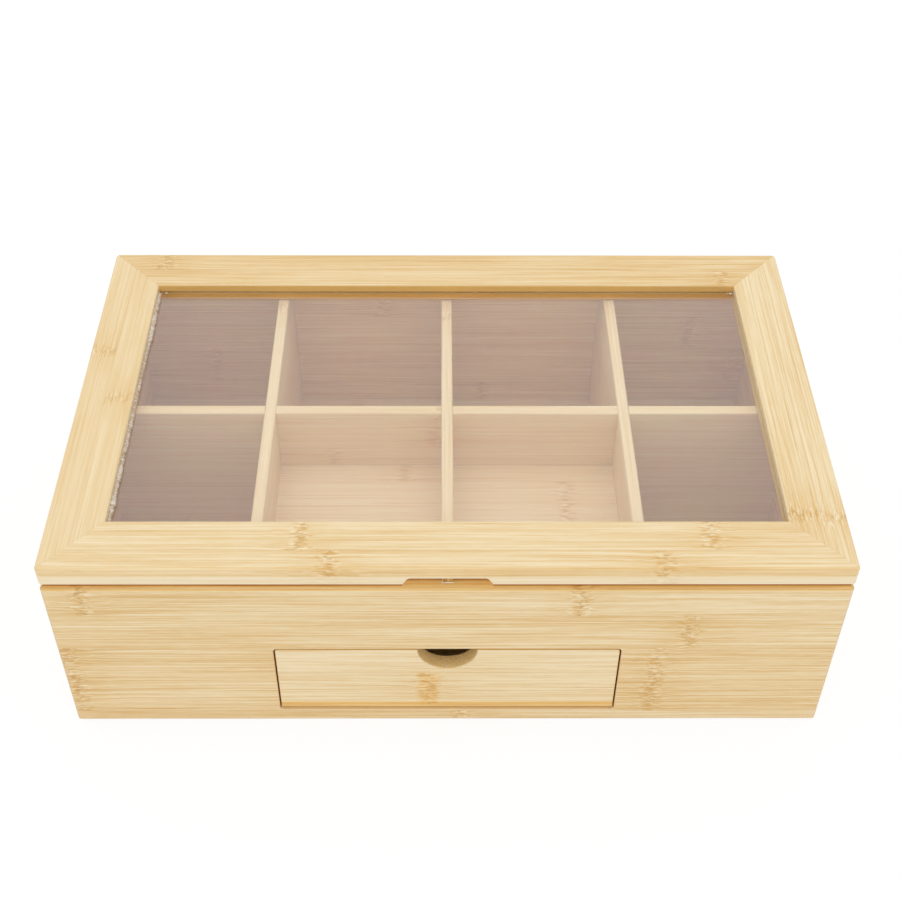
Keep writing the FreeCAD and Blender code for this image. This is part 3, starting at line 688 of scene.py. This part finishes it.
def lid_mitre(tree, place):
    """1 on the line where two rails meet, and 0 near it, 1 away from it, so no edge gets rounded
    shading and the painted highlight there.

    A painted shadow along the window's groove, just above the sheet, counts as such a line too, and is
    stronger.
    """
    middle = (opening["front"] + opening["back"]) / 2
    half = (opening["back"] - opening["front"]) / 2
    past_side = maths(tree, "SUBTRACT", maths(tree, "ABSOLUTE", place["x"]), opening["right"])
    shift = maths(tree, "ABSOLUTE", maths(tree, "SUBTRACT", place["y"], middle))
    past_end = maths(tree, "SUBTRACT", shift, half)
    off = maths(tree, "MULTIPLY_ADD", past_end, -MITRE_SLOPE, past_side)
    off = maths(tree, "ABSOLUTE", off)
    line = maths(tree, "LESS_THAN", off, 0.15 * MM)
    inner = maths(tree, "LESS_THAN", maths(tree, "MAXIMUM", past_side, past_end), 0.1 * MM)
    # Painted shadow of the groove's gap on the inner faces, just above the sheet.
    groove = inside(tree, place, {"z": (sheet_top - 0.1 * MM, sheet_top + 0.45 * MM)})
    groove = maths(tree, "MULTIPLY", maths(tree, "MULTIPLY", inner, groove), GROOVE_SHADOW)
    return maths(tree, "MAXIMUM", line, groove), rise(tree, off, 0.9 * MM, 1.6 * MM)


def painted_light_front(tree, place):
    """The front edge's lower half, a painted highlight, and the notch, painted paler in its shade."""
    at_front = rise(tree, place["y"], rail_low.y + 1.2 * MM, rail_low.y + 0.6 * MM)
    lower = rise(tree, place["z"], rail_low.z + 5.8 * MM, rail_low.z + 5.0 * MM)
    lower = maths(tree, "MULTIPLY", maths(tree, "MULTIPLY", at_front, FRONT_HIGHLIGHT), lower)
    return maths(tree, "MAXIMUM", lower, inside(tree, place, NOTCH_ROOM))


def painted_light_inner(axis, sign, level):
    """A rail's sawn inner face, painted paler than its top where it lies in shade."""
    return lambda tree, place: sawn_face(tree, place, axis, sign, level)


# Each rail: its grain, the axis across it and which way its inner face looks, the place where its
# first strip starts, its warmth and contrast, and its two strips.
rails = {
    "front": ("x", "y", 1.0, -0.1080, -0.06, 0.85,
              [(-0.0966, 0.0900, 0.140, 0.50), (-0.0790, -0.0620, 0.172, 0.45)]),
    "back": ("x", "y", -1.0, 0.0790, 0.12, 0.75,
             [(0.0935, 0.1400, 0.320, 0.50), (0.1080, -0.1440, 0.320, 0.62)]),
    "left": ("y", "x", 1.0, -0.1710, -0.07, 0.45,
             [(-0.1580, 0.0310, 0.300, 0.42), (-0.1440, -0.0030, 0.300, 0.38)]),
    "right": ("y", "x", -1.0, 0.1440, -0.05, 0.85,
              [(0.1590, -0.0765, 0.300, 0.40), (0.1710, -0.0780, 0.300, 0.42)]),
}
for rail, (grain, across, sign, low, warmth, contrast, strips) in rails.items():
    face = (across, sign, opening[rail])
    # Painted light: on the front rail its lower half and notch, on the others the sawn inner face.
    painted_light = painted_light_front if rail == "front" else painted_light_inner(*face)
    finish_node("lid_rail_" + rail, bamboo("bamboo_rail_" + rail, grain, across, low, strips, warmth,
                                           contrast, amber=painted_shade_lid(*face), mitre=lid_mitre,
                                           painted_light=painted_light))


# ---------------------------------------------------------------------------------------------
# Window. A sheet of clear acrylic, 2 mm thick, held in the rails' groove. It mirrors more than a
# bare sheet and is faintly rosy, as if a protective film were still on it.
# ---------------------------------------------------------------------------------------------

ROSY = (0.985, 0.972, 0.945)
VIOLET_GLEAM = (1.0, 0.84, 1.0)
HAZE = 0.012
SHEET_IOR = 1.49
FILM_IOR = 1.60
FILM_ROUGHNESS = 0.02
SMEAR_ROUGHNESS = 0.03
SMEARS_A_METRE = (14.0, 40.0, 14.0)


def make_smear_group():
    """Where a sheet was wiped: broad soft streaks from 0 to 1."""
    group, given, result = new_group(
        "wiped_smears", [("Place", "NodeSocketVector", None)], [("Mask", "NodeSocketFloat", None)])
    stretched = place_node(group, "ShaderNodeVectorMath", {0: given.outputs["Place"]},
                           operation="MULTIPLY")
    stretched.inputs[1].default_value = SMEARS_A_METRE
    streaks = cloudy(group, stretched.outputs[0], 3.0)
    feed(group, result.inputs["Mask"], rise(group, streaks, 0.35, 0.75))
    return group


def clear_acrylic():
    """Clear sheet with wiping smears in its gloss. Shadow and diffuse rays pass straight through."""
    material = bpy.data.materials.new("acrylic_window")
    material.use_nodes = True
    tree = material.node_tree
    shader = tree.nodes["Principled BSDF"]
    shader.inputs["Base Color"].default_value = (*ROSY, 1.0)
    shader.inputs["Transmission Weight"].default_value = 1.0 - HAZE
    shader.inputs["IOR"].default_value = SHEET_IOR
    shader.inputs["Specular Tint"].default_value = (*VIOLET_GLEAM, 1.0)
    shader.inputs["Coat Weight"].default_value = 1.0
    shader.inputs["Coat IOR"].default_value = FILM_IOR
    shader.inputs["Coat Roughness"].default_value = FILM_ROUGHNESS
    smears = place_node(tree, "ShaderNodeGroup", node_tree=make_smear_group())
    feed(tree, smears.inputs["Place"], place_node(tree, "ShaderNodeTexCoord").outputs["Object"])
    roughness = maths(tree, "MULTIPLY", smears.outputs["Mask"], SMEAR_ROUGHNESS)
    feed(tree, shader.inputs["Roughness"], roughness)
    clear = place_node(tree, "ShaderNodeBsdfTransparent")
    clear.inputs["Color"].default_value = (*ROSY, 1.0)
    paths = place_node(tree, "ShaderNodeLightPath")
    straight = maths(tree, "MAXIMUM", paths.outputs["Is Shadow Ray"], paths.outputs["Is Diffuse Ray"])
    inputs = {0: straight, 1: shader.outputs[0], 2: clear.outputs[0]}
    mixed = place_node(tree, "ShaderNodeMixShader", inputs)
    feed(tree, tree.nodes["Material Output"].inputs["Surface"], mixed.outputs[0])
    return material


finish_node("lid_window", clear_acrylic())


# ---------------------------------------------------------------------------------------------
# Sealant bead. Milky silicone pressed by hand into the corner between the window and the left
# rail, so it runs ragged, with blobs. Small dabs of it sit in the back corners and along the
# back rail.
# ---------------------------------------------------------------------------------------------

bead_low, bead_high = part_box("window_sealant")
BEAD_STEPS = 420
BEAD_ROUND = 10
BEAD_LUMPS = 90
BEAD_SWELLS = 14
BEAD_SEED = 7


def ragged_bead(start, end, rail, sheet, width, seed):
    """A bead along Y: its section is a quarter round from the rail to the sheet.

    At a turn a of the section, x = rail + r cos a and z = sheet + r sin a. r is the width, times
    short lumps and a slow swell, both from random points joined up, that together stay between
    0.45 and 1, less up to 12 % at each point. The two ends close nearly to a point.
    Returns its rings of points and, for each ring, how thick it is there from 0 to 1.
    """
    dice = np.random.default_rng(seed)
    t = np.linspace(0.0, 1.0, BEAD_STEPS)
    lumps = np.interp(t, np.linspace(0, 1, BEAD_LUMPS), dice.uniform(0.68, 1.0, BEAD_LUMPS))
    slow = np.interp(t, np.linspace(0, 1, BEAD_SWELLS), dice.uniform(0.66, 1.0, BEAD_SWELLS))
    ends = np.clip(np.minimum(t, 1 - t) * 60, 0.02, 1)
    radius = width * lumps * slow * ends
    turn = np.linspace(0.0, math.pi / 2, BEAD_ROUND)
    arc = np.stack([np.cos(turn), np.sin(turn)], 1)
    fine = dice.uniform(0.88, 1.0, (BEAD_STEPS, BEAD_ROUND))
    x = rail + radius[:, None] * arc[None, :, 0] * fine
    z = sheet + radius[:, None] * arc[None, :, 1] * fine
    y = np.repeat((start + (end - start) * t)[:, None], BEAD_ROUND, 1)
    corner = np.stack([np.full(BEAD_STEPS, rail), y[:, 0], np.full(BEAD_STEPS, sheet)], 1)
    rings = np.concatenate([np.stack([x, y, z], 2), corner[:, None, :]], 1)
    return rings, lumps * slow


def close_rings(rings):
    """Points and faces of a closed skin over rings of points, with a flat cap on each end."""
    count, size = rings.shape[:2]
    index = np.arange(count * size).reshape(count, size)
    nearer, further = index[:-1], index[1:]
    sides = np.stack([nearer, np.roll(nearer, -1, 1), np.roll(further, -1, 1), further], 2)
    faces = sides.reshape(-1, 4).tolist() + [index[0][::-1].tolist(), index[-1].tolist()]
    return rings.reshape(-1, 3), faces


def new_piece(name, points, faces, material, body):
    """A smooth mesh piece of the object that rides on a body and takes its finish from a slot."""
    mesh = bpy.data.meshes.new(name)
    mesh.from_pydata(np.asarray(points).tolist(), [], faces)
    mesh.validate()
    mesh.polygons.foreach_set("use_smooth", [True] * len(mesh.polygons))
    mesh.materials.append(material)
    piece = bpy.data.objects.new(name, mesh)
    bpy.context.scene.collection.objects.link(piece)
    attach(piece, body)
    return piece


GRAINS_A_METRE = 900.0
GRAIN_SWING = 1.6
TEA_TO_MILK = [(0.25, (0.46, 0.32, 0.20)), (0.55, (0.60, 0.49, 0.37)),
               (0.80, (0.72, 0.64, 0.54)), (1.0, (0.84, 0.79, 0.72))]


def milky_silicone():
    """Half-clear silicone with a wet gloss: milky where it is thick, tea-brown where it is thin."""
    material = bpy.data.materials.new("silicone_bead")
    material.use_nodes = True
    tree = material.node_tree
    shader = tree.nodes["Principled BSDF"]
    spot = place_node(tree, "ShaderNodeTexCoord").outputs["Object"]
    inputs = {0: spot, "Scale": GRAINS_A_METRE}
    scaled = place_node(tree, "ShaderNodeVectorMath", inputs, operation="SCALE")
    grains = cloudy(tree, scaled.outputs[0])
    thick = place_node(tree, "ShaderNodeAttribute", attribute_name="thickness").outputs["Fac"]
    cloud = maths(tree, "MULTIPLY_ADD", maths(tree, "SUBTRACT", grains, 0.5), GRAIN_SWING,
                  maths(tree, "SUBTRACT", thick, 0.08))
    feed(tree, shader.inputs["Base Color"], colour_ramp(tree, cloud, TEA_TO_MILK)[0])
    feed(tree, shader.inputs["Roughness"], maths(tree, "MULTIPLY_ADD", grains, 0.3, 0.1))
    shader.inputs["Subsurface Weight"].default_value = 0.3
    shader.inputs["Subsurface Radius"].default_value = (1.0, 0.9, 0.8)
    shader.inputs["Subsurface Scale"].default_value = 0.6 * MM
    bump_inputs = {"Height": grains, "Distance": 0.1 * MM, "Strength": 0.35}
    bump = place_node(tree, "ShaderNodeBump", bump_inputs)
    feed(tree, shader.inputs["Normal"], bump.outputs["Normal"])
    return material


def join_skins(ring_sets):
    """The points and faces of several closed skins, as those of one mesh."""
    points, faces = [], []
    for rings in ring_sets:
        skin, skin_faces = close_rings(rings)
        faces += [[len(points) + corner for corner in face] for face in skin_faces]
        points += skin.tolist()
    return points, faces


def silicone_piece(name, ring_sets, thicknesses):
    """A piece of sealant of several skins, that remembers how thick it is at each point."""
    points, faces = join_skins(ring_sets)
    depths = np.concatenate([np.repeat(thickness, rings.shape[1])
                             for rings, thickness in zip(ring_sets, thicknesses)])
    piece = new_piece(name, points, faces, silicone, "lid")
    piece.data.attributes.new("thickness", "FLOAT", "POINT").data.foreach_set("value", depths)
    return piece


DAB_RINGS = 9
DAB_ROUND = 14


def dab(centre, radius, dice):
    """A squashed lump of sealant round its centre.

    At a tilt t from 0 to pi and a turn a, x = r sin t cos a, y = 0.7 r sin t sin a and
    z = -0.45 r cos t, where r is the radius, less up to 20 % at each point.
    """
    t = np.linspace(0.05, math.pi - 0.05, DAB_RINGS)
    turn = np.linspace(0.0, 2 * math.pi, DAB_ROUND, endpoint=False)
    lump = radius * dice.uniform(0.8, 1.0, (DAB_RINGS, DAB_ROUND))
    x = lump * np.sin(t)[:, None] * np.cos(turn)
    y = lump * np.sin(t)[:, None] * np.sin(turn) * 0.7
    z = -0.45 * lump * np.cos(t)[:, None]
    return np.stack([x, y, z], 2) + centre


silicone = milky_silicone()
bead_rings, bead_thickness = ragged_bead(bead_low.y, bead_high.y, bead_low.x, bead_low.z,
                                         bead_high.x - bead_low.x, BEAD_SEED)
bead = silicone_piece("sealant_bead", [bead_rings], [bead_thickness])
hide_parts("window_sealant")

# The corner dabs: place along the back rail and distance from it in metres, and radius in MM.
CORNER_DABS = [(-0.1440, 0.0016, 0.8), (-0.1412, 0.0010, 1.0),
               (0.1436, 0.0010, 1.3), (0.1418, 0.0007, 0.7)]
SMALL_DABS = 26
SMALL_DAB_REACH = 0.3 * MM
SMALL_DAB_RADII = (0.20, 0.45)
SMALL_DAB_SPAN = (-0.142, 0.142)
DAB_THICKNESS = 0.72
DAB_SEED = 11
dice = np.random.default_rng(DAB_SEED)
dabs = [(x, reach, radius * MM) for x, reach, radius in CORNER_DABS]
dabs += [(x, SMALL_DAB_REACH, dice.uniform(*SMALL_DAB_RADII) * MM)
         for x in dice.uniform(*SMALL_DAB_SPAN, SMALL_DABS)]
dab_rings = [dab((x, opening["back"] - reach - radius / 2, bead_low.z + 0.3 * radius), radius, dice)
             for x, reach, radius in dabs]
silicone_piece("sealant_dabs", dab_rings, [np.full(DAB_RINGS, DAB_THICKNESS)] * len(dab_rings))


# ---------------------------------------------------------------------------------------------
# Magnet and striker. A small nickel-plated block magnet is pressed into the lid's finger notch.
# Orange-brown streaks down its sides are painted reflections of the wood round it. It meets a
# bare steel plug in the front wall's top.
# ---------------------------------------------------------------------------------------------

# The nickel is warmed, a painted reflection of the wood round it.
NICKEL = (0.80, 0.72, 0.58)
STEEL = (0.52, 0.51, 0.50)
WOOD_REFLECTION_STREAKS = [(0.35, (0.30, 0.14, 0.03)), (0.65, (0.66, 0.38, 0.12))]
REFLECTION_STREAKS_A_METRE = (1400.0, 1400.0, 120.0)
magnet_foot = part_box("lid_magnet")[0].z


def worn_metal(name, colour, roughness, scratch):
    """Plain metal with fine scratches in its tone and gloss, so many of them a metre on each axis."""
    material = bpy.data.materials.new(name)
    material.use_nodes = True
    tree = material.node_tree
    shader = tree.nodes["Principled BSDF"]
    shader.inputs["Metallic"].default_value = 1.0
    spot = place_node(tree, "ShaderNodeTexCoord").outputs["Object"]
    scaled = place_node(tree, "ShaderNodeVectorMath", {0: spot}, operation="MULTIPLY")
    scaled.inputs[1].default_value = scratch
    streaks = cloudy(tree, scaled.outputs[0], 3.0)
    dull = tuple(0.8 * channel for channel in colour)
    tone = blend_colours(tree, rise(tree, streaks, 0.4, 0.7), colour, dull)
    feed(tree, shader.inputs["Base Color"], tone)
    feed(tree, shader.inputs["Roughness"], maths(tree, "MULTIPLY_ADD", streaks, 0.25, roughness))
    return material


def nickel_with_painted_reflections():
    """Nickel plate with orange-brown streaks painted down its sides as reflections of the wood, and a
    bare lower face.
    """
    material = worn_metal("nickel_magnet", NICKEL, 0.12, (900.0, 900.0, 900.0))
    tree = material.node_tree
    shader = tree.nodes["Principled BSDF"]
    plate = shader.inputs["Base Color"].links[0].from_socket
    spot = place_node(tree, "ShaderNodeTexCoord").outputs["Object"]
    reflection_field = place_node(tree, "ShaderNodeVectorMath", {0: spot}, operation="MULTIPLY")
    reflection_field.inputs[1].default_value = REFLECTION_STREAKS_A_METRE
    painted_reflection = colour_ramp(tree, cloudy(tree, reflection_field.outputs[0]), WOOD_REFLECTION_STREAKS)[0]
    height = place_node(tree, "ShaderNodeSeparateXYZ", {0: spot}).outputs["Z"]
    streaked = rise(tree, height, magnet_foot + 0.7 * MM, magnet_foot + 1.0 * MM)
    feed(tree, shader.inputs["Base Color"], blend_colours(tree, streaked, plate, painted_reflection))
    return material


finish_node("lid_magnet", nickel_with_painted_reflections())
finish_node("lid_striker", worn_metal("steel_striker", STEEL, 0.30, (300.0, 2400.0, 300.0)))


# ---------------------------------------------------------------------------------------------
# Hinges. Two small pressed-brass butt hinges sunk in the back edge, each with a leaf on the box,
# a leaf on the lid and a pin through five knuckles. Countersunk brass screws hold them.
# ---------------------------------------------------------------------------------------------

BRASS = (0.78, 0.55, 0.22)
PIN_BRASS = (0.72, 0.50, 0.20)
brass = worn_metal("pressed_brass", BRASS, 0.22, (260.0, 2200.0, 2200.0))
pin_brass = worn_metal("pin_brass", PIN_BRASS, 0.16, (220.0, 3000.0, 3000.0))
for side in ("left", "right"):
    for leaf in ("base_leaf", "lid_leaf"):
        finish_node(f"hinge_{side}_{leaf}", brass)
    finish_node(f"hinge_{side}_pin", pin_brass)


HEAD_RADIUS = 1.3 * MM
SHANK_RADIUS = 0.7 * MM
SCREW_LENGTH = 7 * MM
SLOT_DEPTH = 0.5 * MM
THREAD_PITCH = 0.7 * MM
THREAD_DEPTH = 0.22
POINT_LENGTH = 1.6 * MM
SCREW_ROUND = 40
HEAD_RINGS = 14
SHANK_RINGS = 90


def wood_screw(head_radius, shank_radius, length):
    """Rings of a countersunk wood screw that points down from its head at z = 0.

    Rings run out over the head, down its cone and down the shank. Over the head, z drops by the
    slot's depth in a cross: in full where |x| or |y| is under 0.16 mm and r under 0.78 mm, and
    not at all past 0.24 mm and 0.90 mm. On the shank, at an angle a and a depth d,
    r = shank * (1 - THREAD_DEPTH * (0.5 + 0.5 cos(a + 2 pi d / pitch))), drawn in to a point.
    """
    turn = np.linspace(0.0, 2 * math.pi, SCREW_ROUND, endpoint=False)
    face = np.linspace(0.02, 1.0, HEAD_RINGS)[:, None] * head_radius * np.ones(SCREW_ROUND)
    x, y = face * np.cos(turn), face * np.sin(turn)
    arm = np.clip((0.24 * MM - np.minimum(abs(x), abs(y))) / (0.08 * MM), 0, 1)
    dip = -SLOT_DEPTH * arm * np.clip((0.90 * MM - face) / (0.12 * MM), 0, 1)
    depth = np.linspace(0.0, 1.0, SHANK_RINGS)[:, None] * (length - head_radius + shank_radius)
    thread = 0.5 + 0.5 * np.cos(turn + 2 * math.pi * depth / THREAD_PITCH)
    point = np.clip((depth[-1] - depth) / POINT_LENGTH, 0.02, 1)
    shank = shank_radius * (1 - THREAD_DEPTH * thread) * point
    r = np.concatenate([face, shank])
    z = np.concatenate([dip, -(head_radius - shank_radius) - depth + 0 * turn])
    return np.stack([r * np.cos(turn), r * np.sin(turn), z], 2)


def place_screws(name, node, body, places, sign):
    """The four screws through one body's hinge leaves, heads up (1) or down (-1), as one piece.

    It replaces the node with the plain ones.
    """
    low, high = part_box(node)
    middle = (low.y + high.y) / 2
    head = high.z if sign > 0 else low.z
    screw = wood_screw(HEAD_RADIUS, SHANK_RADIUS, SCREW_LENGTH) * (1.0, sign, sign)
    points, faces = join_skins([screw + (side * x, middle, head) for side in (-1, 1) for x in places])
    piece = new_piece(name, points, faces, pin_brass, body)
    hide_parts(node)


place_screws("box_screws", "hinge_screws_base", "root", (0.100, 0.120), 1.0)
place_screws("lid_screws", "hinge_screws_lid", "lid", (0.105, 0.115), -1.0)


# ---------------------------------------------------------------------------------------------
# Table, light and camera. A pale table that keeps the box's shadow, white behind it, a broad
# soft lamp nearly overhead and an even glow from all round.
# ---------------------------------------------------------------------------------------------

# The glow at the horizon and overhead, the lamp, and the share of the table that the camera sees
# lit by itself.
GLOW_LOW = 0.90
GLOW_HIGH = 0.84
LAMP_STRENGTH = 0.42
LAMP_SPREAD = math.radians(50)
LAMP_TURN = (math.radians(4), 0.0, math.radians(-10))
SELF_WHITE = 0.80
TABLE_WHITE = (1.0, 1.0, 1.0)
TABLE_SHADE = (0.95, 0.95, 0.95)
TABLE_GLOW = 1.03
TABLE_HALF = 6.0


def sees_white(tree):
    """1 for a ray that comes from the camera, from gloss or through the window, else 0."""
    paths = place_node(tree, "ShaderNodeLightPath")
    seen = maths(tree, "MAXIMUM", paths.outputs["Is Camera Ray"], paths.outputs["Is Glossy Ray"])
    return maths(tree, "MAXIMUM", seen, paths.outputs["Is Transmission Ray"])


def pale_table():
    """Matte white table top. The camera sees it mostly lit by itself, so its shadows stay faint."""
    material = bpy.data.materials.new("table_top")
    material.use_nodes = True
    tree = material.node_tree
    shader = tree.nodes["Principled BSDF"]
    shader.inputs["Roughness"].default_value = 1.0
    shader.inputs["Specular IOR Level"].default_value = 0.0
    shade = blend_colours(tree, sees_white(tree), TABLE_SHADE, TABLE_WHITE)
    feed(tree, shader.inputs["Base Color"], shade)
    white = place_node(tree, "ShaderNodeEmission", {"Strength": TABLE_GLOW})
    share = maths(tree, "MULTIPLY", sees_white(tree), SELF_WHITE)
    inputs = {0: share, 1: shader.outputs[0], 2: white.outputs[0]}
    mixed = place_node(tree, "ShaderNodeMixShader", inputs)
    feed(tree, tree.nodes["Material Output"].inputs["Surface"], mixed.outputs[0])
    return material


table_mesh = bpy.data.meshes.new("table")
table_mesh.from_pydata([(-TABLE_HALF, -TABLE_HALF, 0), (TABLE_HALF, -TABLE_HALF, 0),
                        (TABLE_HALF, TABLE_HALF, 0), (-TABLE_HALF, TABLE_HALF, 0)], [], [(0, 1, 2, 3)])
table_mesh.materials.append(pale_table())
table = bpy.data.objects.new("table", table_mesh)
bpy.context.scene.collection.objects.link(table)

world = bpy.data.worlds.new("room")
world.use_nodes = True
bpy.context.scene.world = world
sky = world.node_tree
background = sky.nodes["Background"]
outward = place_node(sky, "ShaderNodeTexCoord").outputs["Generated"]
way = place_node(sky, "ShaderNodeSeparateXYZ", {0: outward})
height = maths(sky, "MAXIMUM", way.outputs["Z"], 0.0)
glow = maths(sky, "MULTIPLY_ADD", height, GLOW_HIGH - GLOW_LOW, GLOW_LOW)
inputs = {"Factor": sees_white(sky), "A": glow, "B": 1.0}
shown = place_node(sky, "ShaderNodeMix", inputs, data_type="FLOAT")
feed(sky, background.inputs["Strength"], shown.outputs["Result"])
background.inputs["Color"].default_value = (1.0, 1.0, 1.0, 1.0)

lamp_data = bpy.data.lights.new("key", "SUN")
lamp_data.energy = LAMP_STRENGTH
lamp_data.angle = LAMP_SPREAD
lamp = bpy.data.objects.new("key", lamp_data)
lamp.rotation_euler = LAMP_TURN
bpy.context.scene.collection.objects.link(lamp)

CAMERA_PLACE = (-0.0032, -0.4914, 0.5525)
CAMERA_YAW = math.radians(0.551)
CAMERA_PITCH = math.radians(44.504)
CAMERA_ROLL = math.radians(0.400)
SENSOR_WIDTH = 36.0
FOCAL_LENGTH = 57.25
camera_data = bpy.data.cameras.new("camera")
camera_data.sensor_width = SENSOR_WIDTH
camera_data.lens = FOCAL_LENGTH
camera = bpy.data.objects.new("camera", camera_data)
camera.matrix_world = (Matrix.Translation(CAMERA_PLACE)
                       @ Matrix.Rotation(-CAMERA_YAW, 4, "Z")
                       @ Matrix.Rotation(math.pi / 2 - CAMERA_PITCH, 4, "X")
                       @ Matrix.Rotation(CAMERA_ROLL, 4, "Z"))
bpy.context.scene.collection.objects.link(camera)
bpy.context.scene.camera = camera
bpy.context.scene.view_settings.view_transform = "Standard"
